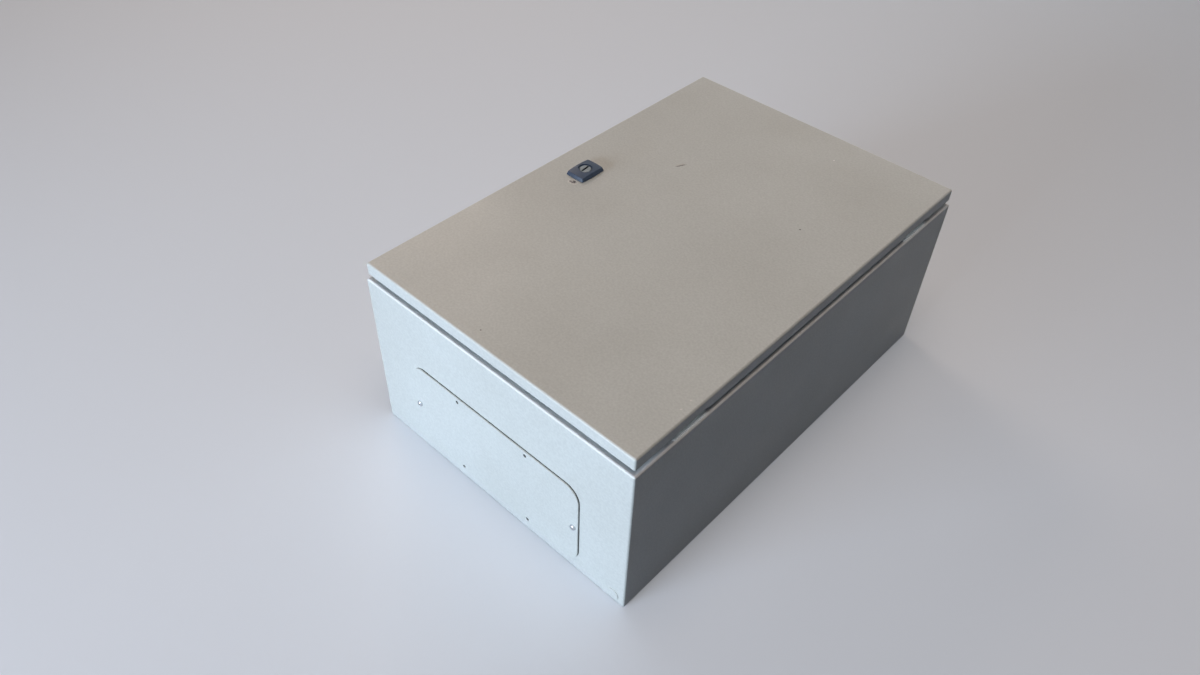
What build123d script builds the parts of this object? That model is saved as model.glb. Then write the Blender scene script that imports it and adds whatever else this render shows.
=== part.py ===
from build123d import *
from math import cos, radians
import os

# Electrical wall enclosure, closed and lying on its back: a folded steel body, a hinged door with a
# quarter-turn lock, a gland plate over the cable opening and a mounting plate inside.
# X runs across, with the hinges at +X and the lock at -X. Y runs up the enclosure as it hangs on a
# wall, with the gland plate at -Y. Z runs from the rear wall to the door.
# The origin is the centre of the rear wall's outer face. All sizes are in millimetres.

# Overall size of the closed enclosure, without the lock and the gland plate
width = 400.0
length = 600.0
depth = 250.0

# Steel sheet of the body and the door
sheet = 1.5
bend_inside = 1.0
bend_outside = bend_inside + sheet

# Door tray: height of its rim, gap below the rim, and how far it stands inside the body's outline
door_rim = 15.0
door_gap = 8.0
door_inset = 2.0
door_width = width - 2 * door_inset
door_length = length - 2 * door_inset
rim_z = depth - door_rim
door_inner_z = depth - sheet

# Front fold of the body: a ledge all round and an upstand that meets the seal
ledge_width = 18.0
upstand_corner = 8.0
ledge_z = rim_z - door_gap
mouth_width = width - 2 * ledge_width - 2 * sheet
mouth_length = length - 2 * ledge_width - 2 * sheet

# Foamed seal in the door, over the upstand
seal_width = 10.0
seal_height = 8.5
seal_gap = 0.3
seal_round = 2.8
seal_z = door_inner_z - seal_height
upstand_z = seal_z - seal_gap
seal_outer_width = mouth_width + sheet + seal_width
seal_outer_length = mouth_length + sheet + seal_width

# Wall fixing holes in the rear wall, set in from the sides
fixing_inset = 25.0
fixing_hole_radius = 4.5

# Cable opening in the bottom end, its gland plate, and the plate's screws
gland_centre_z = 79.5
gland_plate_width = 264.6
gland_plate_height = 126.5
gland_plate_corner = 20.0
gland_plate_thickness = 1.5
gland_seal_thickness = 1.0
gland_overlap = 13.0
gland_screw_inset = 6.5
gland_hole_radius = 2.25
gland_hole_offset = 54.0
gland_opening_width = gland_plate_width - 2 * gland_overlap
gland_opening_height = gland_plate_height - 2 * gland_overlap
gland_opening_corner = gland_plate_corner - gland_screw_inset
gland_screw_x = gland_plate_width / 2 - gland_screw_inset
gland_screw_z = gland_plate_height / 2 - gland_screw_inset

# Round pressing low on the bottom end, near the hinge side
pressing_inset = 16.0
pressing_height = 11.8
pressing_radius = 8.0
pressing_depth = 0.9
pressing_round = 0.6

# Screws with a low head, its edge sloped
screw_radius = 2.0
screw_head_radius = 3.8
screw_head_height = 2.6
screw_head_slope = 1.3
screw_length = 8.0
screw_hole_gap = 0.05

# Mounting plate on four studs
mouth_clearance = 15.5
plate_thickness = 2.0
plate_fold = 7.0
plate_edge_round = 0.4
plate_corner_cut = 9.0
stud_inset = 15.0
stud_radius = 4.0
stud_length = 26.5
stud_collar_radius = 7.0
stud_collar_height = 8.5
plate_hole_gap = 0.5
washer_radius = 8.0
washer_thickness = 1.6
nut_flats = 13.0
nut_height = 6.5
nut_chamfer = 0.6
thread_gap = 0.05
plate_width = mouth_width - 2 * mouth_clearance
plate_length = mouth_length - 2 * mouth_clearance
plate_z = sheet + stud_collar_height
stud_spacing_x = plate_width - 2 * stud_inset
stud_spacing_y = plate_length - 2 * stud_inset

# Earth studs: one on the rear wall below the mounting plate, one on the door's inner face
earth_side_inset = 80.0
earth_inset = 18.0
earth_length = 20.0
door_earth_side_inset = 50.0
door_earth_inset = 38.0
door_earth_radius = 3.0
door_earth_length = 15.0
door_earth_washer_radius = 6.0
door_earth_nut_flats = 10.0
door_earth_nut_height = 5.0
earth_x = width / 2 - earth_side_inset
earth_y = -length / 2 + earth_inset
door_earth_x = width / 2 - door_earth_side_inset
door_earth_y = -length / 2 + door_earth_inset

# Concealed hinges: a bracket on the ledge, a leaf on the door and a pin between them
hinge_inset = 85.0
hinge_length = 50.0
pin_radius = 1.5
pin_set_back = 6.4
pin_rise = 8.0
pin_running_gap = 0.05
pin_seat_gap = 0.02
pin_head = 1.0
barrel_radius = 2.5
barrel_length = 20.0
barrel_end_gap = 0.4
ear_thickness = 4.0
bracket_base = 2.0
bracket_front = 2.8
bracket_width = 13.0
bracket_corner = 2.0
bracket_screw_x = 8.0
bracket_screw_y = 19.5
neck_set_back = 0.2
leaf_foot = 2.0
leaf_web = 2.0
leaf_seal_gap = 0.8
leaf_rim_gap = 2.4
leaf_stud_y = 17.0
rim_notch_length = 53.0
rim_notch_height = 2.0
leaf_stud_length = 6.7
leaf_nut_flats = 7.0
leaf_nut_height = 3.2
pin_x = width / 2 - pin_set_back
pin_z = ledge_z + pin_rise
hinge_y = length / 2 - hinge_inset
bracket_front_x = width / 2 - bracket_front
leaf_low_x = seal_outer_width / 2 + leaf_seal_gap
leaf_high_x = door_width / 2 - leaf_rim_gap
leaf_stud_x = (leaf_low_x + leaf_high_x) / 2
ear_y = barrel_length / 2 + barrel_end_gap

# Quarter-turn lock
lock_inset = 51.2
lock_y = 0.0
lock_rest_angle = 96.0
housing_width = 29.6
housing_length = 40.4
housing_height = 5.6
housing_bow = 0.8
housing_corner = 1.8
housing_taper = 21.0
housing_round = 0.9
housing_dome_radius = 150.0
lock_seal_thickness = 0.8
lock_seal_inset = 2.0
stem_radius = 11.0
stem_hole_gap = 0.2
stem_nut_flats = 27.0
stem_nut_height = 6.0
recess_radius = 9.2
recess_depth = 1.3
insert_head_radius = 7.4
insert_head_length = 6.0
insert_head_gap = 0.3
insert_rise = 0.7
insert_radius = 5.5
insert_running_gap = 0.08
slot_length = 13.0
slot_width = 2.6
slot_depth = 3.5
cam_thickness = 3.0
cam_ledge_gap = 1.8
cam_end_gap = 0.3
cam_reach = 45.0
cam_hub_radius = 9.5
cam_tip_radius = 6.5
cam_lead = 1.2
square_size = 7.0
square_gap = 0.05
square_height = 2.6
cam_washer_radius = 7.0
cam_washer_thickness = 1.4
cam_screw_radius = 2.5
cam_screw_length = 10.0
cam_screw_flats = 8.0
cam_screw_head_height = 3.5
lock_x = lock_inset - width / 2
cam_z = ledge_z - sheet - cam_ledge_gap - cam_thickness
cam_top_z = cam_z + cam_thickness
housing_z = depth + lock_seal_thickness
housing_top_z = housing_z + housing_height
head_top_z = housing_top_z - recess_depth + insert_rise
head_low_z = head_top_z - insert_head_length
stem_low_z = cam_top_z + cam_end_gap

SMALL = 0.01
BOTTOM_UP = (Align.CENTER, Align.CENTER, Align.MIN)
bottom_end = Plane.XZ.offset(length / 2)
lock_axis = Plane(Location((lock_x, lock_y, 0), (0, 0, lock_rest_angle)))


def export(builder, name):
    builder.part.label = name
    export_step(builder.part, f"parts/{name}.step")


def set_out(name, piece, *places):
    """Writes one node that holds a copy of the piece at each place."""
    with BuildPart() as group:
        with Locations(*places):
            add(piece)
    export(group, name)


def rounded_box(box_width, box_length, low, high, radius):
    """A box standing on Z = low, all its edges rounded as bends."""
    with BuildPart(Plane.XY.offset(low)) as box:
        Box(box_width, box_length, high - low, align=BOTTOM_UP)
        fillet(box.edges(), radius)
    return box.part


def tray_block(box_width, box_length, low, high, radius):
    """A box whose lowest edges stay sharp, as the outside or the inside of the door tray."""
    with BuildPart(Plane.XY.offset(low)) as block:
        Box(box_width, box_length, high - low, align=BOTTOM_UP)
        edges = block.edges()
        fillet(edges - edges.group_by(Axis.Z)[0], radius)
    return block.part


def low_head_screw(shank_length):
    """A screw whose head sits on Z = 0 with its shank below."""
    with BuildPart() as screw:
        Cylinder(screw_head_radius, screw_head_height, align=BOTTOM_UP)
        chamfer(screw.edges().group_by(Axis.Z)[-1], screw_head_slope)
        with BuildSketch():
            Circle(screw_radius)
        extrude(amount=-shank_length)
    return screw.part


def hex_nut(flats, height, bore_radius):
    """A nut that stands on Z = 0, its corners chamfered at the free end."""
    with BuildPart() as disc:
        Cylinder(flats / 2 / cos(radians(30)), height, align=BOTTOM_UP)
        chamfer(disc.edges().group_by(Axis.Z)[-1], nut_chamfer)
    with BuildPart() as nut:
        with BuildSketch():
            RegularPolygon(flats / 2, 6, major_radius=False)
            Circle(bore_radius, mode=Mode.SUBTRACT)
        extrude(amount=height)
        add(disc.part, mode=Mode.INTERSECT)
    return nut.part


def flat_washer(radius, thickness, bore_radius):
    with BuildPart() as washer:
        with BuildSketch():
            Circle(radius)
            Circle(bore_radius, mode=Mode.SUBTRACT)
        extrude(amount=thickness)
    return washer.part


def threaded_stud(radius, stud_height):
    """A welded stud that stands on Z = 0, its free end chamfered."""
    with BuildPart() as stud:
        Cylinder(radius, stud_height, align=BOTTOM_UP)
        chamfer(stud.edges().group_by(Axis.Z)[-1], nut_chamfer)
    return stud.part


os.makedirs("parts", exist_ok=True)

gland_screw_places = [(-gland_screw_x, gland_centre_z), (gland_screw_x, gland_centre_z)]
gland_spare_places = [
    (side * gland_hole_offset, gland_centre_z + end * gland_screw_z) for side in (-1, 1) for end in (-1, 1)
]
stud_places = [
    (side * stud_spacing_x / 2, end * stud_spacing_y / 2) for side in (-1, 1) for end in (-1, 1)
]
hinge_places = {"lower": -hinge_y, "upper": hinge_y}
bracket_screw_places = [
    (bracket_front_x - bracket_screw_x, at_y + side * bracket_screw_y)
    for at_y in hinge_places.values() for side in (-1, 1)
]
leaf_stud_places = [
    (leaf_stud_x, at_y + side * leaf_stud_y) for at_y in hinge_places.values() for side in (-1, 1)
]

# Body: the sheet folded round into five walls, then inward as a ledge and forward as an upstand
outside = rounded_box(width, length, 0, ledge_z, bend_outside)
inside = rounded_box(width - 2 * sheet, length - 2 * sheet, sheet, ledge_z - sheet, bend_inside)
with BuildPart() as body:
    add(outside)
    with BuildSketch(Plane.XY.offset(ledge_z - sheet)):
        RectangleRounded(mouth_width + 2 * sheet, mouth_length + 2 * sheet, upstand_corner)
    extrude(amount=upstand_z - ledge_z + sheet)
    ledge_top = body.faces().filter_by(Axis.Z).filter_by_position(Axis.Z, ledge_z - SMALL, ledge_z + SMALL)
    fillet(ledge_top[0].inner_wires()[0].edges(), bend_inside)
    add(inside, mode=Mode.SUBTRACT)
    with BuildSketch(Plane.XY.offset(ledge_z - 2 * sheet)):
        RectangleRounded(mouth_width, mouth_length, upstand_corner - sheet)
    extrude(amount=upstand_z - ledge_z + 3 * sheet, mode=Mode.SUBTRACT)
    ledge_under = body.faces().filter_by(Axis.Z).filter_by_position(
        Axis.Z, ledge_z - sheet - SMALL, ledge_z - sheet + SMALL
    )
    fillet(ledge_under[0].inner_wires()[0].edges(), bend_outside)
    # wall fixing holes
    with BuildSketch():
        with GridLocations(width - 2 * fixing_inset, length - 2 * fixing_inset, 2, 2):
            Circle(fixing_hole_radius)
    extrude(amount=sheet, mode=Mode.SUBTRACT)
    # cable opening with the holes for its plate
    with BuildSketch(bottom_end):
        with Locations((0, gland_centre_z)):
            RectangleRounded(gland_opening_width, gland_opening_height, gland_opening_corner)
        with Locations(*gland_screw_places, *gland_spare_places):
            Circle(gland_hole_radius)
    extrude(amount=-sheet, mode=Mode.SUBTRACT)
    # round pressing, raised a little from the bottom end
    with BuildSketch(bottom_end):
        with Locations((width / 2 - pressing_inset, pressing_height)):
            Circle(pressing_radius)
    extrude(amount=pressing_depth)
    fillet(body.faces().sort_by(Axis.Y)[0].outer_wire().edges(), pressing_round)
    # screw holes of the hinge brackets in the ledge
    with BuildSketch(Plane.XY.offset(ledge_z)):
        with Locations(*bracket_screw_places):
            Circle(screw_radius + screw_hole_gap)
    extrude(amount=-sheet, mode=Mode.SUBTRACT)
export(body, "body")

# Gland plate, its flat seal and its two screws. Its other holes carry no screws.
with BuildPart() as gland_seal:
    with BuildSketch(bottom_end):
        with Locations((0, gland_centre_z)):
            RectangleRounded(gland_plate_width, gland_plate_height, gland_plate_corner)
            RectangleRounded(
                gland_opening_width, gland_opening_height, gland_opening_corner, mode=Mode.SUBTRACT
            )
        with Locations(*gland_screw_places, *gland_spare_places):
            Circle(gland_hole_radius, mode=Mode.SUBTRACT)
    extrude(amount=gland_seal_thickness)
export(gland_seal, "gland_seal")

with BuildPart() as gland_plate:
    with BuildSketch(bottom_end.offset(gland_seal_thickness)):
        with Locations((0, gland_centre_z)):
            RectangleRounded(gland_plate_width, gland_plate_height, gland_plate_corner)
        with Locations(*gland_screw_places, *gland_spare_places):
            Circle(gland_hole_radius, mode=Mode.SUBTRACT)
    extrude(amount=gland_plate_thickness)
    fillet(gland_plate.faces().sort_by(Axis.Y)[0].outer_wire().edges(), plate_edge_round)
export(gland_plate, "gland_plate")

gland_face = bottom_end.offset(gland_seal_thickness + gland_plate_thickness)
set_out(
    "gland_screws", low_head_screw(screw_length),
    *[gland_face.location * Location((x, z, 0)) for x, z in gland_screw_places]
)

# Mounting plate: flat sheet with its long sides folded back for stiffness, on four welded studs
with BuildPart() as mounting_plate:
    with BuildSketch(Plane.XZ.offset(-plate_length / 2)):
        with BuildLine():
            FilletPolyline(
                (-plate_width / 2 + plate_thickness / 2, plate_z + plate_thickness - plate_fold),
                (-plate_width / 2 + plate_thickness / 2, plate_z + plate_thickness / 2),
                (plate_width / 2 - plate_thickness / 2, plate_z + plate_thickness / 2),
                (plate_width / 2 - plate_thickness / 2, plate_z + plate_thickness - plate_fold),
                radius=plate_thickness,
            )
        trace(line_width=plate_thickness)
    extrude(amount=plate_length)
    with BuildSketch(Plane.XY.offset(plate_z + plate_thickness)):
        with GridLocations(stud_spacing_x, stud_spacing_y, 2, 2):
            Circle(stud_radius + plate_hole_gap)
        with Locations(*[
            Location((side * plate_width / 2, end * plate_length / 2, 0), (0, 0, 45))
            for side in (-1, 1) for end in (-1, 1)
        ]):
            Rectangle(plate_corner_cut, plate_corner_cut)
    extrude(amount=-plate_fold - SMALL, mode=Mode.SUBTRACT)
export(mounting_plate, "mounting_plate")

with BuildPart() as collared_stud:
    Cylinder(stud_radius, stud_length, align=BOTTOM_UP)
    chamfer(collared_stud.edges().group_by(Axis.Z)[-1], nut_chamfer)
    Cylinder(stud_collar_radius, stud_collar_height, align=BOTTOM_UP)
m8_washer = flat_washer(washer_radius, washer_thickness, stud_radius + plate_hole_gap)
m8_nut = hex_nut(nut_flats, nut_height, stud_radius + thread_gap)
plate_top_z = plate_z + plate_thickness
set_out("mounting_studs", collared_stud.part, *[(x, y, sheet) for x, y in stud_places])
set_out("plate_washers", m8_washer, *[(x, y, plate_top_z) for x, y in stud_places])
set_out("plate_nuts", m8_nut, *[(x, y, plate_top_z + washer_thickness) for x, y in stud_places])

# Earth studs of the body and the door, each with a washer and a nut
set_out("body_earth_stud", threaded_stud(stud_radius, earth_length), (earth_x, earth_y, sheet))
set_out("body_earth_washer", m8_washer, (earth_x, earth_y, sheet))
set_out("body_earth_nut", m8_nut, (earth_x, earth_y, sheet + washer_thickness))

door_earth = Plane((door_earth_x, door_earth_y, door_inner_z), x_dir=(1, 0, 0), z_dir=(0, 0, -1))
door_washer = flat_washer(door_earth_washer_radius, washer_thickness, door_earth_radius + plate_hole_gap)
door_nut = hex_nut(door_earth_nut_flats, door_earth_nut_height, door_earth_radius + thread_gap)
set_out("door_earth_stud", threaded_stud(door_earth_radius, door_earth_length), door_earth.location)
set_out("door_earth_washer", door_washer, door_earth.location)
set_out("door_earth_nut", door_nut, door_earth.offset(washer_thickness).location)

# Door: a folded tray. Its rim has a shallow notch at each hinge, where it swings past the bracket.
door_outside = tray_block(door_width, door_length, rim_z, depth, bend_outside)
door_inside = tray_block(
    door_width - 2 * sheet, door_length - 2 * sheet, rim_z - sheet, door_inner_z, bend_inside
)
with BuildPart() as door:
    add(door_outside)
    add(door_inside, mode=Mode.SUBTRACT)
    with BuildSketch(Plane.YZ.offset(door_width / 2 + sheet)):
        with Locations((-hinge_y, rim_z), (hinge_y, rim_z)):
            SlotOverall(rim_notch_length, 2 * rim_notch_height)
    extrude(amount=-3 * sheet, mode=Mode.SUBTRACT)
    with BuildSketch(lock_axis.offset(depth)):
        Circle(stem_radius + stem_hole_gap)
    extrude(amount=-sheet, mode=Mode.SUBTRACT)
export(door, "door")

with BuildPart() as door_seal:
    with BuildSketch(Plane.XY.offset(seal_z)):
        RectangleRounded(seal_outer_width, seal_outer_length, upstand_corner + seal_width / 2)
        RectangleRounded(
            seal_outer_width - 2 * seal_width,
            seal_outer_length - 2 * seal_width,
            upstand_corner - seal_width / 2,
            mode=Mode.SUBTRACT,
        )
    extrude(amount=seal_height)
    fillet(door_seal.faces().sort_by(Axis.Z)[0].edges(), seal_round)
export(door_seal, "door_seal")

# Hinges: the bracket's two ears hold the pin, and the leaf's barrel turns between them. The ears' necks
# stay behind the pin, because the door's rim swings down in front of them.
for end, at_y in hinge_places.items():
    with BuildPart() as bracket:
        with BuildSketch(Plane.XY.offset(ledge_z)):
            with Locations((bracket_front_x - bracket_width / 2, at_y)):
                RectangleRounded(bracket_width, hinge_length, bracket_corner)
            with Locations(*[
                (bracket_front_x - bracket_screw_x, at_y + side * bracket_screw_y) for side in (-1, 1)
            ]):
                Circle(screw_radius + screw_hole_gap, mode=Mode.SUBTRACT)
        extrude(amount=bracket_base)
        for side in (-1, 1):
            with BuildSketch(Plane.XZ.offset(-at_y - side * ear_y)):
                with Locations((pin_x, pin_z)):
                    Circle(barrel_radius)
                with Locations((pin_x - (barrel_radius + neck_set_back) / 2, (ledge_z + pin_z) / 2)):
                    Rectangle(barrel_radius - neck_set_back, pin_z - ledge_z)
                with Locations((pin_x, pin_z)):
                    Circle(pin_radius + pin_seat_gap, mode=Mode.SUBTRACT)
            extrude(amount=-side * ear_thickness)
    export(bracket, f"hinge_bracket_{end}")

    with BuildPart() as pin:
        with BuildSketch(Plane.XZ.offset(-at_y)):
            with Locations((pin_x, pin_z)):
                Circle(pin_radius)
        extrude(amount=ear_y + ear_thickness + pin_head, both=True)
        chamfer(pin.edges().filter_by(GeomType.CIRCLE), pin_head / 2)
    export(pin, f"hinge_pin_{end}")

    with BuildPart() as leaf:
        with BuildSketch(Plane.XZ.offset(-at_y)):
            with Locations((pin_x, pin_z)):
                Circle(barrel_radius)
            with Locations((pin_x - barrel_radius + leaf_web / 2, (pin_z + door_inner_z) / 2)):
                Rectangle(leaf_web, door_inner_z - pin_z)
            with Locations((pin_x, pin_z)):
                Circle(pin_radius + pin_running_gap, mode=Mode.SUBTRACT)
        extrude(amount=barrel_length / 2, both=True)
        with BuildSketch(Plane.XY.offset(door_inner_z)):
            with Locations(((leaf_low_x + leaf_high_x) / 2, at_y)):
                RectangleRounded(leaf_high_x - leaf_low_x, hinge_length, bracket_corner)
            with Locations(*[(leaf_stud_x, at_y + side * leaf_stud_y) for side in (-1, 1)]):
                Circle(screw_radius + screw_hole_gap, mode=Mode.SUBTRACT)
        extrude(amount=-leaf_foot)
    export(leaf, f"hinge_leaf_{end}")

set_out(
    "bracket_screws", low_head_screw(screw_length),
    *[(x, y, ledge_z + bracket_base) for x, y in bracket_screw_places]
)

with BuildPart() as leaf_studs:
    with BuildSketch(Plane.XY.offset(door_inner_z)):
        with Locations(*leaf_stud_places):
            Circle(screw_radius)
    extrude(amount=-leaf_stud_length)
export(leaf_studs, "leaf_studs")

set_out(
    "leaf_nuts", hex_nut(leaf_nut_flats, leaf_nut_height, screw_radius + thread_gap),
    *[(x, y, door_inner_z - leaf_foot - leaf_nut_height) for x, y in leaf_stud_places]
)


def bowed_outline(across, along, bow):
    """A rectangle whose four sides swell out a little."""
    half_x = across / 2 - bow
    half_y = along / 2 - bow
    with BuildSketch() as outline:
        with BuildLine():
            ThreePointArc((half_x, -half_y), (half_x + bow, 0), (half_x, half_y))
            ThreePointArc((half_x, half_y), (0, half_y + bow), (-half_x, half_y))
            ThreePointArc((-half_x, half_y), (-half_x - bow, 0), (-half_x, -half_y))
            ThreePointArc((-half_x, -half_y), (0, -half_y - bow), (half_x, -half_y))
        make_face()
    return outline.sketch


# Lock housing: a pillow-shaped escutcheon outside the door and a threaded stem through it
lock_place = Plane((lock_x, lock_y, 0))
housing_outline = bowed_outline(housing_width, housing_length, housing_bow)
seal_outline = bowed_outline(housing_width - lock_seal_inset, housing_length - lock_seal_inset, housing_bow)
with BuildPart() as lock_housing:
    with BuildSketch(lock_place.offset(housing_z)):
        add(housing_outline)
    extrude(amount=housing_height, taper=housing_taper)
    with Locations((lock_x, lock_y, housing_top_z - housing_dome_radius)):
        Sphere(housing_dome_radius, rotation=(90, 0, 0), mode=Mode.INTERSECT)
    fillet(lock_housing.edges().group_by(Axis.Z)[1], housing_corner)
    fillet(lock_housing.faces().sort_by(Axis.Z)[-1].edges(), housing_round)
    with BuildSketch(lock_place.offset(housing_z)):
        Circle(stem_radius)
    extrude(amount=stem_low_z - housing_z)
    with BuildSketch(lock_place.offset(housing_top_z)):
        Circle(recess_radius)
    extrude(amount=-recess_depth, mode=Mode.SUBTRACT)
    with BuildSketch(lock_place.offset(housing_top_z)):
        Circle(insert_head_radius + insert_head_gap)
    extrude(amount=head_low_z - insert_head_gap - housing_top_z, mode=Mode.SUBTRACT)
    with BuildSketch(lock_place.offset(housing_top_z)):
        Circle(insert_radius + insert_running_gap)
    extrude(amount=stem_low_z - housing_top_z, mode=Mode.SUBTRACT)
export(lock_housing, "lock_housing")

with BuildPart() as lock_seal:
    with BuildSketch(lock_place.offset(depth)):
        add(seal_outline)
        Circle(stem_radius + stem_hole_gap, mode=Mode.SUBTRACT)
    extrude(amount=lock_seal_thickness)
export(lock_seal, "lock_seal")

lock_under = Plane((lock_x, lock_y, door_inner_z), x_dir=(1, 0, 0), z_dir=(0, 0, -1))
set_out("lock_nut", hex_nut(stem_nut_flats, stem_nut_height, stem_radius + thread_gap), lock_under.location)

# Lock insert: a slotted head, a round shank in the housing's bore and a square end for the cam
with BuildPart() as lock_insert:
    with BuildSketch(lock_axis.offset(head_low_z)):
        Circle(insert_head_radius)
    extrude(amount=insert_head_length)
    chamfer(lock_insert.edges().group_by(Axis.Z)[-1], insert_rise)
    with BuildSketch(lock_axis.offset(cam_top_z)):
        Circle(insert_radius)
    extrude(amount=head_low_z - cam_top_z)
    with BuildSketch(lock_axis.offset(cam_top_z - square_height)):
        Rectangle(square_size, square_size)
    extrude(amount=square_height)
    with BuildSketch(lock_axis.offset(head_top_z)):
        Rectangle(slot_length, slot_width)
    extrude(amount=-slot_depth, mode=Mode.SUBTRACT)
    with BuildSketch(lock_axis.offset(cam_top_z - square_height)):
        Circle(cam_screw_radius + thread_gap)
    extrude(amount=cam_screw_length, mode=Mode.SUBTRACT)
export(lock_insert, "lock_insert")

# Cam: a flat arm whose tip goes under the ledge when the lock is turned shut
with BuildPart() as lock_cam:
    with BuildSketch(lock_axis.offset(cam_z)):
        Circle(cam_hub_radius)
        with Locations((cam_reach - cam_tip_radius, 0)):
            Circle(cam_tip_radius)
        make_hull()
        Rectangle(square_size + 2 * square_gap, square_size + 2 * square_gap, mode=Mode.SUBTRACT)
    extrude(amount=cam_thickness)
    chamfer(lock_cam.faces().sort_by(Axis.Z)[-1].outer_wire().edges(), cam_lead)
export(lock_cam, "lock_cam")

cam_under = Plane(lock_axis.offset(cam_z).origin, x_dir=(1, 0, 0), z_dir=(0, 0, -1))
set_out(
    "cam_washer", flat_washer(cam_washer_radius, cam_washer_thickness, cam_screw_radius + plate_hole_gap),
    cam_under.location
)

with BuildPart() as cam_screw:
    with BuildSketch(cam_under.offset(cam_washer_thickness)):
        RegularPolygon(cam_screw_flats / 2, 6, major_radius=False)
    extrude(amount=cam_screw_head_height)
    with BuildSketch(cam_under.offset(cam_washer_thickness)):
        Circle(cam_screw_radius)
    extrude(amount=-cam_screw_length)
export(cam_screw, "cam_screw")
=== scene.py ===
import math

import bmesh
import bpy
from mathutils import Matrix, Vector


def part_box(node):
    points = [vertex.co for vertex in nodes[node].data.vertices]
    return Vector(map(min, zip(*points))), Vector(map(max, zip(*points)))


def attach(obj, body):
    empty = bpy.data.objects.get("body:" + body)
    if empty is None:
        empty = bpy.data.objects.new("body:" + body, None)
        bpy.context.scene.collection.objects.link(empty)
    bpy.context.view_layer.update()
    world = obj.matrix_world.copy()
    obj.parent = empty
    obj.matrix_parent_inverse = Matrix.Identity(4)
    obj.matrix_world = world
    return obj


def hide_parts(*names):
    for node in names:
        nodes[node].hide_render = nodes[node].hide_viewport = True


# Electrical wall enclosure, closed and lying on its back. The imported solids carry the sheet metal, and this
# script gives them their finishes and adds the small pieces that the solids leave plain.
# Metres throughout. X runs across, Y up the enclosure, Z from the rear wall to the door.

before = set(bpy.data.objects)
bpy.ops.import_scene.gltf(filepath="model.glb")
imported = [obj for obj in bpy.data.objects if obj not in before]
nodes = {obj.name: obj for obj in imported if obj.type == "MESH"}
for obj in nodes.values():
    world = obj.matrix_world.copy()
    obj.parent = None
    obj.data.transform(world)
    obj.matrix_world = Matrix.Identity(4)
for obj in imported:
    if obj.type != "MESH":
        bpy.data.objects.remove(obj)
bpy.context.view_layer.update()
print("frame loaded:", len(nodes), "nodes")


# Small tools

def mm(*values):
    # millimetres to metres, one number or several
    return values[0] / 1000 if len(values) == 1 else tuple(v / 1000 for v in values)


def hexColour(code):
    # sRGB hex to the linear values that shader sockets take
    parts = [int(code[i:i + 2], 16) / 255 for i in (1, 3, 5)]
    return tuple(c / 12.92 if c <= 0.04045 else ((c + 0.055) / 1.055) ** 2.4 for c in parts) + (1.0,)


def addNode(tree, kind, inputs=None, **settings):
    # one node with its settings; an input is a plain value, or the socket that feeds it
    node = tree.nodes.new(kind)
    for name, value in settings.items():
        setattr(node, name, value)
    for name, value in (inputs or {}).items():
        socket = node.inputs[name]
        if isinstance(value, bpy.types.NodeSocket):
            tree.links.new(value, socket)
        else:
            socket.default_value = value
    return node


def newMaterial(name, sockets):
    # a Principled material; the plain values sit on the shader's own sockets
    material = bpy.data.materials.new(name)
    material.use_nodes = True
    tree = material.node_tree
    tree.nodes.clear()
    shader = addNode(tree, "ShaderNodeBsdfPrincipled", sockets)
    output = addNode(tree, "ShaderNodeOutputMaterial")
    tree.links.new(shader.outputs["BSDF"], output.inputs["Surface"])
    place = addNode(tree, "ShaderNodeTexCoord").outputs["Object"]
    return material, tree, shader, place


def noise(tree, place, size, detail=3.0, rough=0.5):
    # noise whose features are about size metres across
    return addNode(tree, "ShaderNodeTexNoise",
                   {"Vector": place, "Scale": 1 / size, "Detail": detail, "Roughness": rough}).outputs["Fac"]


def spread(tree, value, fromLow, fromHigh, toLow, toHigh):
    return addNode(tree, "ShaderNodeMapRange",
                   {"Value": value, "From Min": fromLow, "From Max": fromHigh,
                    "To Min": toLow, "To Max": toHigh}).outputs["Result"]


def blendColour(tree, factor, first, second, how="MIX"):
    node = addNode(tree, "ShaderNodeMix", data_type="RGBA", blend_type=how)
    for socket, value in ((node.inputs[0], factor), (node.inputs[6], first), (node.inputs[7], second)):
        if isinstance(value, bpy.types.NodeSocket):
            tree.links.new(value, socket)
        else:
            socket.default_value = value
    return node.outputs[2]


def maths(tree, how, first, second):
    node = addNode(tree, "ShaderNodeMath", operation=how)
    for socket, value in zip(node.inputs, (first, second)):
        if isinstance(value, bpy.types.NodeSocket):
            tree.links.new(value, socket)
        else:
            socket.default_value = value
    return node.outputs[0]


def bump(tree, shader, layers):
    # bump from (height, depth in metres) layers, one over the other
    normal = None
    for height, depth in layers:
        inputs = {"Height": height, "Distance": depth, "Strength": 1.0}
        if normal:
            inputs["Normal"] = normal
        normal = addNode(tree, "ShaderNodeBump", inputs).outputs["Normal"]
    tree.links.new(normal, shader.inputs["Normal"])


def dress(material, *names):
    # a CAD node keeps its mesh and takes the finish
    for name in names:
        nodes[name].data.materials.clear()
        nodes[name].data.materials.append(material)


# Powder coat
# Polyester powder, light grey, sprayed and baked on sheet steel. It has a fine pebbled texture that only
# shows where a light is mirrored in it, and is otherwise satin.

paint = {
    "colour": "#cbcdc8",
    "cloudColour": "#c2c3bd",       # faint handling film on the flat faces
    "grainSize": mm(2.6),           # one pebble of the texture
    "grainDepth": mm(0.095),
    "grainHollowPaintedShade": (0.93, 1.04),     # painted shade: darker in the hollows of the texture, lighter on its pebbles
    "peelSize": mm(0.9),
    "peelDepth": mm(0.010),
    "cloudSize": mm(180),
    "roughness": (0.38, 0.48),
}

# Pale dust that has settled on the ledge round the door and on the bend beside it, while the box lay on
# its back. It is laid full and very pale, so it also paints in the light that falls on the ledge's upward
# faces.
ledgeDustAndPaintedLight = {
    "height": mm(227.0),
    "bend": mm(1.8),                # how far down the bend it reaches
    "cover": 1.0,
    "colour": "#f1f4f6",
    "patch": mm(14),
    "dulls": 0.4,                   # added to the roughness of the paint
}

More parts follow.
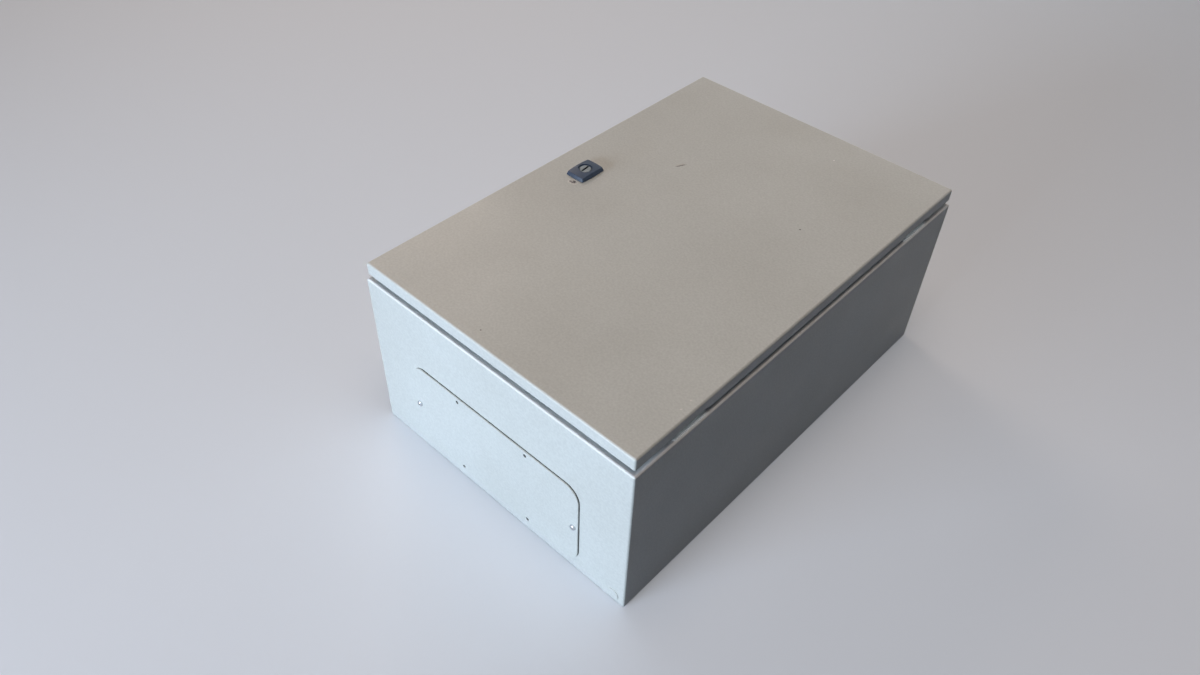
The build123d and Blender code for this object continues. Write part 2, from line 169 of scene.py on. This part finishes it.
# Marks on the door: x, y of the centre, half length, half width, turn from X in degrees, colour
doorFace = 250      # height of the face that they are on, in millimetres
doorMarks = {
    "scratch": (-74.3, 96.7, 7.5, 0.9, 66, "#6f6a63"),
    "scratchEdge": (-76.2, 97.7, 7.0, 0.7, 66, "#c3beb6"),
    "darkDot": (108.9, 93.5, 1.3, 1.1, 0, "#5d5a55"),
    "paleDot": (57.2, 246.7, 1.2, 1.1, 0, "#f0efec"),
    "paleSpeck": (187.3, -205.9, 1.3, 1.0, 20, "#dedcd8"),
    "paleSpeckTwo": (187.7, -221.4, 1.5, 0.9, 50, "#dedcd8"),
    "edgeDot": (-28.3, -281.4, 1.0, 0.8, 0, "#6a6762"),
}

# Chipped paint beside the lock: a pale rim with primer and rust showing through in specks
doorChip = {
    "place": (-145.6, -25.5),
    "rimReach": (6.2, 4.2),
    "coreReach": (4.8, 3.1),
    "turn": 14,
    "ragged": (0.6, 0.5),           # how far the edges of the rim and the core wander
    "speckSize": mm(2.4),
    "speckEdge": (0.38, 0.43),
    "rim": "#eeece6",
    "primer": "#241614",
}


def spotMask(tree, place, x, y, halfLength, halfWidth, turn, ragged=0.35):
    # 1 inside an ellipse on the door's outer face, 0 outside and on its inner face, with a ragged edge
    local = addNode(tree, "ShaderNodeMapping", {
        "Vector": place, "Location": mm(x, y, doorFace), "Rotation": (0, 0, math.radians(turn)),
        "Scale": mm(halfLength, halfWidth, 1)}, vector_type="TEXTURE").outputs["Vector"]
    distance = addNode(tree, "ShaderNodeVectorMath", {0: local}, operation="LENGTH").outputs["Value"]
    edge = spread(tree, noise(tree, place, mm(0.8), 2.0), 0.3, 0.7, -ragged, ragged)
    return spread(tree, maths(tree, "ADD", distance, edge), 1.15, 0.75, 0.0, 1.0)


def dustAndPaintedLightCover(tree, place):
    # how much pale dust and painted light lies there, from 0 to 1: on faces that look up, near the ledge's
    # height
    height = addNode(tree, "ShaderNodeSeparateXYZ", {"Vector": place}).outputs["Z"]
    off = maths(tree, "ABSOLUTE", maths(tree, "SUBTRACT", height, ledgeDustAndPaintedLight["height"]), 0.0)
    up = addNode(tree, "ShaderNodeSeparateXYZ",
                 {"Vector": addNode(tree, "ShaderNodeNewGeometry").outputs["True Normal"]}).outputs["Z"]
    flat = maths(tree, "MULTIPLY", spread(tree, off, ledgeDustAndPaintedLight["bend"] / 2, ledgeDustAndPaintedLight["bend"], 1.0, 0.0),
                 spread(tree, up, 0.2, 0.7, 0.0, 1.0))
    patches = spread(tree, noise(tree, place, ledgeDustAndPaintedLight["patch"], 4.0, 0.6), 0.3, 0.6, 0.7, 1.0)
    return maths(tree, "MULTIPLY", maths(tree, "MULTIPLY", flat, patches), ledgeDustAndPaintedLight["cover"])


def powderCoat(name, marked):
    material, tree, shader, place = newMaterial(name, {"IOR": 1.5, "Metallic": 0.0})
    cloud = spread(tree, noise(tree, place, paint["cloudSize"], 4.0, 0.6), 0.35, 0.7, 0.0, 0.8)
    colour = blendColour(tree, cloud, hexColour(paint["colour"]), hexColour(paint["cloudColour"]))
    grain = noise(tree, place, paint["grainSize"], 2.0, 0.45)
    # painted shade that follows the texture: the hollows are coloured darker and the pebbles lighter
    shade = spread(tree, grain, 0.3, 0.7, *paint["grainHollowPaintedShade"])
    colour = blendColour(tree, 1.0, colour, shade, "MULTIPLY")
    low, high = paint["roughness"]
    roughness = spread(tree, noise(tree, place, paint["cloudSize"] / 3, 5.0, 0.6), 0.3, 0.7, low, high)
    if marked:
        for x, y, halfLength, halfWidth, turn, code in doorMarks.values():
            mask = spotMask(tree, place, x, y, halfLength, halfWidth, turn)
            colour = blendColour(tree, mask, colour, hexColour(code))
        rim, core = (spotMask(tree, place, *doorChip["place"], *doorChip[reach], doorChip["turn"], ragged)
                     for reach, ragged in zip(("rimReach", "coreReach"), doorChip["ragged"]))
        specks = noise(tree, place, doorChip["speckSize"], 2.0, 0.7)
        bare = maths(tree, "MULTIPLY", core, spread(tree, specks, *doorChip["speckEdge"], 0.0, 1.0))
        colour = blendColour(tree, rim, colour, hexColour(doorChip["rim"]))
        colour = blendColour(tree, bare, colour, hexColour(doorChip["primer"]))
    else:
        # pale dust with painted light: the upward faces at the ledge are made pale
        cover = dustAndPaintedLightCover(tree, place)
        colour = blendColour(tree, cover, colour, hexColour(ledgeDustAndPaintedLight["colour"]))
        roughness = maths(tree, "ADD", roughness, maths(tree, "MULTIPLY", cover, ledgeDustAndPaintedLight["dulls"]))
    tree.links.new(colour, shader.inputs["Base Color"])
    tree.links.new(roughness, shader.inputs["Roughness"])
    bump(tree, shader, [(grain, paint["grainDepth"]),
                        (noise(tree, place, paint["peelSize"], 2.0), paint["peelDepth"])])
    return material


bodyPaint = powderCoat("powderCoatBody", False)
doorPaint = powderCoat("powderCoatDoor", True)
dress(bodyPaint, "body", "gland_plate")
dress(doorPaint, "door")
print("paint done")


# Metals

# mottle: how far the colour and the roughness wander, from 0 to 1, in patches of mottleSize
# stretch: draws the grain out in lines
metals = {
    # Electroplated zinc, clear passivated: bright, slightly blue, smooth
    "brightZincPlating": {"colour": "#cfd3d8", "roughness": 0.24, "mottle": 0.12, "mottleSize": mm(2.5),
                          "grain": mm(0.5), "depth": mm(0.004), "stretch": (1, 1, 1)},
    # Zinc plating on turned studs, nuts and washers: duller, with handling marks
    "zincPlating": {"colour": "#c3c6c9", "roughness": 0.33, "mottle": 0.18, "mottleSize": mm(4),
                    "grain": mm(0.6), "depth": mm(0.006), "stretch": (1, 1, 1)},
    # Die-cast zinc as cast and barrel polished: satin, faintly grained
    "castZinc": {"colour": "#c6c8c6", "roughness": 0.60, "mottle": 0.10, "mottleSize": mm(5),
                 "grain": mm(0.7), "depth": mm(0.012), "stretch": (1, 1, 1)},
    # Nickel on die-cast zinc, worn satin by the key
    "nickelPlatedZinc": {"colour": "#7d7f7e", "roughness": 0.42, "mottle": 0.20, "mottleSize": mm(3),
                         "grain": mm(0.4), "depth": mm(0.006), "stretch": (1, 1, 1)},
    # Drawn steel rod: lines along Y
    "drawnSteel": {"colour": "#b9babd", "roughness": 0.22, "mottle": 0.10, "mottleSize": mm(3),
                   "grain": mm(0.25), "depth": mm(0.004), "stretch": (1, 0.05, 1)},
}


def metal(name):
    values = metals[name]
    mottle, roughness = values["mottle"], values["roughness"]
    material, tree, shader, place = newMaterial(name, {"Metallic": 1.0})
    patches = noise(tree, place, values["mottleSize"], 4.0, 0.6)
    shade = spread(tree, patches, 0.3, 0.7, 1 - mottle, 1 + mottle / 2)
    tree.links.new(blendColour(tree, 1.0, hexColour(values["colour"]), shade, "MULTIPLY"),
                   shader.inputs["Base Color"])
    tree.links.new(spread(tree, patches, 0.3, 0.7, roughness * (1 + mottle), roughness * (1 - mottle)),
                   shader.inputs["Roughness"])
    lines = addNode(tree, "ShaderNodeMapping", {"Vector": place, "Scale": values["stretch"]})
    bump(tree, shader, [(noise(tree, lines.outputs["Vector"], values["grain"], 3.0), values["depth"])])
    return material


brightZinc, zincPlating, castZinc, nickelZinc, pinSteel = (metal(name) for name in metals)

dress(zincPlating, "plate_washers", "plate_nuts", "body_earth_washer", "body_earth_nut", "leaf_studs",
      "leaf_nuts", "lock_nut", "door_earth_washer", "door_earth_nut", "lock_cam", "cam_washer", "cam_screw")
dress(castZinc, "hinge_bracket_lower", "hinge_bracket_upper", "hinge_leaf_lower", "hinge_leaf_upper")
dress(nickelZinc, "lock_insert")
dress(pinSteel, "hinge_pin_lower", "hinge_pin_upper")

# Hot-dip galvanised sheet: flat crystals (spangle) that each mirror a little differently
spangle = {
    "light": "#c4c8cb",
    "dark": "#a3a8ac",
    "crystal": mm(9),
    "roughness": (0.30, 0.46),
    "depth": mm(0.008),
    "fineSize": mm(0.5),
    "fineDepth": mm(0.003),
}


def galvanisedSheet():
    material, tree, shader, place = newMaterial("galvanisedSheet", {"Metallic": 1.0})
    wander = noise(tree, place, spangle["crystal"] * 0.7, 3.0)
    bent = addNode(tree, "ShaderNodeVectorMath", {0: place, 1: addNode(
        tree, "ShaderNodeVectorMath", {0: wander, "Scale": spangle["crystal"] * 0.6},
        operation="SCALE").outputs["Vector"]}, operation="ADD").outputs["Vector"]
    cells = addNode(tree, "ShaderNodeTexVoronoi", {"Vector": bent, "Scale": 1 / spangle["crystal"]})
    tone = addNode(tree, "ShaderNodeSeparateColor", {"Color": cells.outputs["Color"]}).outputs["Red"]
    tree.links.new(blendColour(tree, tone, hexColour(spangle["dark"]), hexColour(spangle["light"])),
                   shader.inputs["Base Color"])
    low, high = spangle["roughness"]
    tree.links.new(spread(tree, tone, 0.0, 1.0, high, low), shader.inputs["Roughness"])
    bump(tree, shader, [(cells.outputs["Distance"], spangle["depth"]),
                        (noise(tree, place, spangle["fineSize"]), spangle["fineDepth"])])
    return material


dress(galvanisedSheet(), "mounting_plate")
print("metals done")


# Plastic, rubber, foam

# Glass-filled polyamide, injection moulded in a spark-eroded tool: blue-black, satin, with a fine even tooth
lockPlastic = {
    "colour": "#14253a",
    "worn": "#1c3048",
    "wornSize": mm(9),
    "tooth": mm(0.45),
    "depth": mm(0.010),
    "roughness": (0.42, 0.50),
}


def mouldedPolyamide():
    material, tree, shader, place = newMaterial("mouldedPolyamide", {"IOR": 1.53, "Metallic": 0.0})
    patches = noise(tree, place, lockPlastic["wornSize"], 4.0, 0.6)
    worn = spread(tree, patches, 0.35, 0.7, 0.0, 1.0)
    tree.links.new(blendColour(tree, worn, hexColour(lockPlastic["colour"]), hexColour(lockPlastic["worn"])),
                   shader.inputs["Base Color"])
    low, high = lockPlastic["roughness"]
    tree.links.new(spread(tree, patches, 0.3, 0.7, high, low), shader.inputs["Roughness"])
    bump(tree, shader, [(noise(tree, place, lockPlastic["tooth"], 2.0), lockPlastic["depth"])])
    return material


# Foamed polyurethane, laid as a bead and cured with a closed skin: dark grey, matt, with open pores here
# and there, which are coloured darker as painted shade
foamStrip = {
    "skin": "#3b3c3f",
    "poreShade": "#1d1e20",
    "poreSize": mm(1.6),
    "depth": mm(0.10),
    "waveSize": mm(22),
    "waveDepth": mm(0.5),
    "roughness": (0.72, 0.95),      # of the skin and of a pore
}


def skinnedFoam():
    material, tree, shader, place = newMaterial("skinnedFoam", {"IOR": 1.45, "Metallic": 0.0})
    pores = addNode(tree, "ShaderNodeTexVoronoi", {"Vector": place, "Scale": 1 / foamStrip["poreSize"]}
                    ).outputs["Distance"]
    # painted shade: the pores are coloured darker than the skin, where the bump sinks them
    pitted = spread(tree, pores, 0.10, 0.28, 1.0, 0.0)
    tree.links.new(blendColour(tree, pitted, hexColour(foamStrip["skin"]), hexColour(foamStrip["poreShade"])),
                   shader.inputs["Base Color"])
    tree.links.new(spread(tree, pitted, 0.0, 1.0, *foamStrip["roughness"]), shader.inputs["Roughness"])
    bump(tree, shader, [(noise(tree, place, foamStrip["waveSize"]), foamStrip["waveDepth"]),
                        (spread(tree, pores, 0.0, 0.4, 0.0, 1.0), foamStrip["depth"])])
    return material


# Cellular rubber sheet, die cut: matt black with a fine cell texture on its edge, coloured darker in the
# hollows of the cells and lighter on their tops as painted shade
rubberSheet = {
    "colour": "#1a1b1c",
    "cellTopPaintedLight": "#2a2b2d",
    "cell": mm(0.7),
    "depth": mm(0.03),
    "roughness": (0.75, 0.9),
}


def cellularRubber():
    material, tree, shader, place = newMaterial("cellularRubber", {"IOR": 1.5, "Metallic": 0.0})
    cells = noise(tree, place, rubberSheet["cell"], 3.0)
    # painted shade: the colour follows the height of the cells, darker in their hollows
    tree.links.new(blendColour(tree, cells, hexColour(rubberSheet["colour"]),
                               hexColour(rubberSheet["cellTopPaintedLight"])), shader.inputs["Base Color"])
    tree.links.new(spread(tree, cells, 0.3, 0.7, *rubberSheet["roughness"]), shader.inputs["Roughness"])
    bump(tree, shader, [(cells, rubberSheet["depth"])])
    return material


dress(mouldedPolyamide(), "lock_housing")
dress(skinnedFoam(), "door_seal")
dress(cellularRubber(), "gland_seal", "lock_seal")
print("plastic and seals done")


# Modelling tools

def startPiece():
    if bpy.context.mode != "OBJECT":
        bpy.ops.object.mode_set(mode="OBJECT")
    bpy.ops.object.select_all(action="DESELECT")


def choose(kind, test):
    # in edit mode: selects the faces, edges or vertices that pass the test
    bpy.ops.mesh.select_mode(type=kind)
    work = bmesh.from_edit_mesh(bpy.context.edit_object.data)
    for group in (work.verts, work.edges, work.faces):
        for part in group:
            part.select_set(False)
    for part in {"FACE": work.faces, "EDGE": work.edges, "VERT": work.verts}[kind]:
        part.select_set(bool(test(part)))
    work.select_flush_mode()
    bmesh.update_edit_mesh(bpy.context.edit_object.data)


def applyModifier(piece, kind, **settings):
    bpy.context.view_layer.objects.active = piece
    modifier = piece.modifiers.new(kind.lower(), kind)
    for name, value in settings.items():
        setattr(modifier, name, value)
    bpy.ops.object.modifier_apply(modifier=modifier.name)


def joinPieces(first, *others):
    startPiece()
    for piece in (first, *others):
        piece.select_set(True)
    bpy.context.view_layer.objects.active = first
    bpy.ops.object.join()
    return first


def copyAt(piece, place):
    # a copy with its own mesh, moved by the matrix
    twin = piece.copy()
    twin.data = piece.data.copy()
    bpy.context.view_layer.update()
    twin.data.transform(place @ piece.matrix_world)
    twin.matrix_world = Matrix.Identity(4)
    bpy.context.scene.collection.objects.link(twin)
    return twin


smoothAngle = math.radians(32)


def finishPiece(piece, name, body, material, node):
    # origin at the world's origin, outward normals, one finish, the body that it rides on, and the node that
    # it stands for
    startPiece()
    piece.select_set(True)
    bpy.context.view_layer.objects.active = piece
    bpy.ops.object.transform_apply(location=True, rotation=True, scale=True)
    bpy.ops.object.mode_set(mode="EDIT")
    bpy.ops.mesh.select_all(action="SELECT")
    bpy.ops.mesh.normals_make_consistent(inside=False)
    bpy.ops.object.mode_set(mode="OBJECT")
    bpy.ops.object.shade_smooth_by_angle(angle=smoothAngle)
    piece.name = name
    piece.data.materials.clear()
    piece.data.materials.append(material)
    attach(piece, body)
    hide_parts(node)


def remove(piece):
    bpy.data.objects.remove(piece)


# Screws
# Thread-forming pan head screws, bright zinc, with a cross recess

screw = {
    "headRadius": mm(3.8),
    "headHeight": mm(2.6),
    "crown": mm(1.75),
    "shankRadius": mm(2.0),
    "length": mm(8.0),
    "point": 0.14,                  # share of the length that tapers
    "pointWidth": 0.45,             # of the shank, at its tip
    "recessLength": mm(4.4),
    "recessWidth": mm(0.95),
    "recessDepth": mm(1.4),
    "recessFoot": (0.45, 0.7),      # of the recess's length and width, at its bottom
    "sides": 40,
    "glandTurns": (24, -11),        # how the recesses stand, in degrees
    "bracketTurns": (10, 70, 35, 55),
    "bracketPitch": mm(39),         # between the two screws of a bracket
}


def panScrew():
    # stands on Z = 0 with its shank below
    startPiece()
    bpy.ops.mesh.primitive_cylinder_add(vertices=screw["sides"], radius=screw["headRadius"],
                                        depth=screw["headHeight"], location=(0, 0, screw["headHeight"] / 2))
    head = bpy.context.object
    bpy.ops.object.mode_set(mode="EDIT")
    choose("FACE", lambda f: f.normal.z > 0.9)
    bpy.ops.mesh.bevel(offset=screw["crown"], segments=6, profile=0.6, affect="EDGES")
    choose("FACE", lambda f: f.normal.z < -0.9)
    bpy.ops.mesh.inset(thickness=screw["headRadius"] - screw["shankRadius"])
    for share in (1 - screw["point"], screw["point"]):
        bpy.ops.mesh.extrude_region_move(TRANSFORM_OT_translate={"value": (0, 0, -screw["length"] * share)})
    bpy.ops.transform.resize(value=(screw["pointWidth"], screw["pointWidth"], 1))
    bpy.ops.object.mode_set(mode="OBJECT")
    for turn in (0, 90):
        startPiece()
        bpy.ops.mesh.primitive_cube_add(size=1, location=(0, 0, screw["headHeight"]))
        blade = bpy.context.object
        bpy.ops.object.mode_set(mode="EDIT")
        bpy.ops.mesh.select_all(action="SELECT")
        bpy.ops.transform.resize(value=(screw["recessLength"], screw["recessWidth"],
                                        screw["recessDepth"] * 2))
        choose("FACE", lambda f: f.normal.z < -0.9)
        bpy.ops.transform.resize(value=(*screw["recessFoot"], 1))
        bpy.ops.object.mode_set(mode="OBJECT")
        blade.rotation_euler.z = math.radians(turn)
        bpy.context.view_layer.update()
        applyModifier(head, "BOOLEAN", operation="DIFFERENCE", object=blade, solver="EXACT")
        remove(blade)
    return head


def setScrews(name, places, turns):
    # places: (x, y, z) and the matrix that stands the head the right way round
    pattern = panScrew()
    copies = [copyAt(pattern, Matrix.Translation(p) @ stand @ Matrix.Rotation(math.radians(t), 4, "Z"))
              for (p, stand), t in zip(places, turns)]
    remove(pattern)
    finishPiece(joinPieces(*copies), name + "Detailed", "enclosure_body", brightZinc, name)


glandLow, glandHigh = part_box("gland_screws")
outward = Matrix.Rotation(math.radians(90), 4, "X")          # +Z turned to -Y
glandFace = glandLow.y + screw["headHeight"]
glandX = glandHigh.x - screw["headRadius"]
glandZ = (glandLow.z + glandHigh.z) / 2
setScrews("gland_screws", [((side * glandX, glandFace, glandZ), outward) for side in (-1, 1)],
          screw["glandTurns"])

bracketLow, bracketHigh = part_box("bracket_screws")
bracketX = bracketHigh.x - screw["headRadius"]
bracketZ = bracketHigh.z - screw["headHeight"]
bracketY = bracketHigh.y - screw["headRadius"]
setScrews("bracket_screws",
          [((bracketX, end * (bracketY - step), bracketZ), Matrix.Identity(4))
           for end in (-1, 1) for step in (0, screw["bracketPitch"])], screw["bracketTurns"])
print("screws done")


# Threaded studs
# Welded studs with a rolled thread: a helical ridge on a core, and a chamfered end

studs = {
    "mounting_studs": {"radius": mm(4), "pitch": mm(1.25), "collar": mm(7), "collarHeight": mm(8.5)},
    "body_earth_stud": {"radius": mm(4), "pitch": mm(1.25), "collar": mm(5), "collarHeight": mm(0.8)},
    "door_earth_stud": {"radius": mm(3), "pitch": mm(1.0), "collar": mm(3.9), "collarHeight": mm(0.7)},
}
thread = {
    "depth": 0.61,          # of the pitch, for a metric thread
    "steps": 28,            # round one turn
    "rooted": 1.06,         # its ridge reaches this far into the core, as a share of the depth
    "land": 0.96,           # width of the ridge, as a share of the pitch
    "collarEdge": mm(0.4),
}


def threadedStud(radius, pitch, collar, collarHeight, length):
    depth = thread["depth"] * pitch
    core = radius - depth
    endTaper = depth
    startPiece()
    bpy.ops.mesh.primitive_cylinder_add(vertices=thread["steps"], radius=core, depth=length - endTaper,
                                        location=(0, 0, (length - endTaper) / 2))
    shank = bpy.context.object
    startPiece()
    bpy.ops.mesh.primitive_cone_add(vertices=thread["steps"], radius1=radius, radius2=core, depth=endTaper,
                                    location=(0, 0, length - endTaper / 2))
    tip = bpy.context.object
    startPiece()
    bpy.ops.mesh.primitive_cylinder_add(vertices=48, radius=collar, depth=collarHeight,
                                        location=(0, 0, collarHeight / 2))
    foot = bpy.context.object
    bpy.ops.object.mode_set(mode="EDIT")
    choose("FACE", lambda f: f.normal.z > 0.9)
    bpy.ops.mesh.bevel(offset=min(thread["collarEdge"], collarHeight / 3), segments=2, affect="EDGES")
    bpy.ops.object.mode_set(mode="OBJECT")
    # the ridge: a triangle beside the axis, carried round and up
    turns = int((length - endTaper - collarHeight) / pitch)
    startPiece()
    bpy.ops.mesh.primitive_circle_add(vertices=3, radius=1, fill_type="NOTHING",
                                      rotation=(math.radians(90), 0, 0))
    ridge = bpy.context.object
    bpy.ops.object.transform_apply(location=False, rotation=True, scale=False)
    bpy.ops.object.mode_set(mode="EDIT")
    bpy.ops.mesh.select_all(action="SELECT")
    bpy.ops.transform.rotate(value=math.radians(-90), orient_axis="Y", center_override=(0, 0, 0))
    bpy.ops.object.mode_set(mode="OBJECT")
    xs = [v.co.x for v in ridge.data.vertices]
    zs = [v.co.z for v in ridge.data.vertices]
    widthX, widthZ = max(xs) - min(xs), max(zs) - min(zs)
    bpy.ops.object.mode_set(mode="EDIT")
    bpy.ops.mesh.select_all(action="SELECT")
    bpy.ops.transform.resize(value=(depth * thread["rooted"] / widthX, 1, pitch * thread["land"] / widthZ))
    bpy.ops.object.mode_set(mode="OBJECT")
    outer = max(v.co.x for v in ridge.data.vertices)
    bpy.ops.object.mode_set(mode="EDIT")
    bpy.ops.mesh.select_all(action="SELECT")
    bpy.ops.transform.translate(value=(radius - outer, 0, collarHeight))
    bpy.ops.object.mode_set(mode="OBJECT")
    applyModifier(ridge, "SCREW", axis="Z", angle=math.tau, screw_offset=pitch, iterations=turns,
                  steps=thread["steps"], render_steps=thread["steps"], use_merge_vertices=False)
    bpy.ops.object.mode_set(mode="EDIT")
    bpy.ops.mesh.select_all(action="SELECT")
    bpy.ops.mesh.remove_doubles(threshold=1e-7)
    bpy.ops.mesh.select_all(action="SELECT")
    bpy.ops.mesh.fill_holes(sides=3)
    bpy.ops.object.mode_set(mode="OBJECT")
    return joinPieces(shank, tip, foot, ridge)


def setStuds(name, body, places, flipped=False):
    low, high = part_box(name)
    pattern = threadedStud(**studs[name], length=high.z - low.z)
    stand = Matrix.Rotation(math.pi, 4, "X") if flipped else Matrix.Identity(4)
    base = high.z if flipped else low.z
    copies = [copyAt(pattern, Matrix.Translation((x, y, base)) @ stand) for x, y in places]
    remove(pattern)
    joined = joinPieces(*copies) if len(copies) > 1 else copies[0]
    finishPiece(joined, name + "Threaded", body, zincPlating, name)


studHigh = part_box("mounting_studs")[1]
reachX, reachY = (high - studs["mounting_studs"]["collar"] for high in (studHigh.x, studHigh.y))
setStuds("mounting_studs", "enclosure_body", [(x * reachX, y * reachY) for x in (-1, 1) for y in (-1, 1)])
for name, body, flipped in (("body_earth_stud", "enclosure_body", False), ("door_earth_stud", "door", True)):
    low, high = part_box(name)
    setStuds(name, body, [((low.x + high.x) / 2, (low.y + high.y) / 2)], flipped)
print("studs done")


# Camera

view = {
    "place": (0.5211, -0.7193, 0.9139),
    "right": (0.73132, 0.68144, 0.02809),
    "up": (-0.48847, 0.49460, 0.71887),
    "back": (0.47598, -0.53945, 0.69458),
    "lens": 28.125,
    "sensor": 36.0,
}
bpy.ops.object.camera_add(location=view["place"])
camera = bpy.context.object
camera.rotation_euler = Matrix((view["right"], view["up"], view["back"])).transposed().to_euler()
camera.data.lens = view["lens"]
camera.data.sensor_width = view["sensor"]
camera.data.clip_start, camera.data.clip_end = 0.01, 100
bpy.context.scene.camera = camera


# Floor, world and lamps

studio = {
    "floorColour": "#dbe1e9",
    "bounceColour": "#33465c",      # what the object gets back from the floor
    "floorGlow": 0.14,              # lifts the floor to a pale tone for the camera alone
    "skyColour": "#d3e0f0",
    "skyStrength": 0.020,
    "backdrop": "#dbe4ee",
    "floorSize": 30,
    "aim": (0, 0, 0.12),            # what every lamp points at
}

# lamp: direction that it shines from, distance, width, height, power, colour, spread of its beam in degrees.
# The two low ones have a narrow beam, which keeps them off the floor beside them.
lamps = {
    "window": ((-0.14, -0.975, 0.16), 3.2, 1.7, 1.2, 38, "#d8e8fb", 90),
    "overhead": ((0.08, -0.12, 0.98), 3.0, 1.6, 1.6, 29.5, "#ffebdb", 180),
    "leftPanel": ((-0.74, 0.30, 0.60), 3.0, 1.0, 0.8, 13, "#ffe6d2", 180),
    "sideFill": ((0.62, 0.60, 0.50), 3.2, 2.0, 1.4, 2, "#c8deff", 180),
    "backFill": ((-0.26, 0.94, 0.22), 3.2, 1.8, 1.2, 4, "#f2ece6", 90),
}


def anyDirectView(tree):
    # 1 for what the camera sees, directly, in a mirror or through glass
    path = addNode(tree, "ShaderNodeLightPath").outputs
    seen = maths(tree, "MAXIMUM", path["Is Camera Ray"], path["Is Glossy Ray"])
    return maths(tree, "MAXIMUM", seen, path["Is Transmission Ray"])


startPiece()
bpy.ops.mesh.primitive_plane_add(size=studio["floorSize"], location=(0, 0, 0))
floor = bpy.context.object
floor.name = "studioFloor"
floorFinish, tree, shader, place = newMaterial("paleFloor", {"Roughness": 0.85, "IOR": 1.3})
seen = anyDirectView(tree)
tree.links.new(blendColour(tree, seen, hexColour(studio["bounceColour"]), hexColour(studio["floorColour"])),
               shader.inputs["Base Color"])
shader.inputs["Emission Color"].default_value = hexColour(studio["floorColour"])
tree.links.new(maths(tree, "MULTIPLY", seen, studio["floorGlow"]), shader.inputs["Emission Strength"])
floor.data.materials.append(floorFinish)

world = bpy.data.worlds.new("studio")
bpy.context.scene.world = world
world.use_nodes = True
worldTree = world.node_tree
worldTree.nodes.clear()
ambient = addNode(worldTree, "ShaderNodeBackground",
                  {"Color": hexColour(studio["skyColour"]), "Strength": studio["skyStrength"]})
backdrop = addNode(worldTree, "ShaderNodeBackground",
                   {"Color": hexColour(studio["backdrop"]), "Strength": 1.0})
mixed = addNode(worldTree, "ShaderNodeMixShader",
                {0: anyDirectView(worldTree), 1: ambient.outputs[0], 2: backdrop.outputs[0]})
addNode(worldTree, "ShaderNodeOutputWorld", {"Surface": mixed.outputs[0]})

for name, (direction, distance, lampWidth, lampHeight, power, colour, beam) in lamps.items():
    spot = Vector(direction).normalized() * distance
    bpy.ops.object.light_add(type="AREA", location=spot)
    lamp = bpy.context.object
    lamp.name = name
    lamp.data.shape = "RECTANGLE"
    lamp.data.size, lamp.data.size_y = lampWidth, lampHeight
    lamp.data.energy = power
    lamp.data.spread = math.radians(beam)
    lamp.data.color = hexColour(colour)[:3]
    lamp.rotation_euler = (Vector(studio["aim"]) - spot).to_track_quat("-Z", "Y").to_euler()
print("camera and lamps done")

scene = bpy.context.scene
scene.view_settings.view_transform = "Standard"
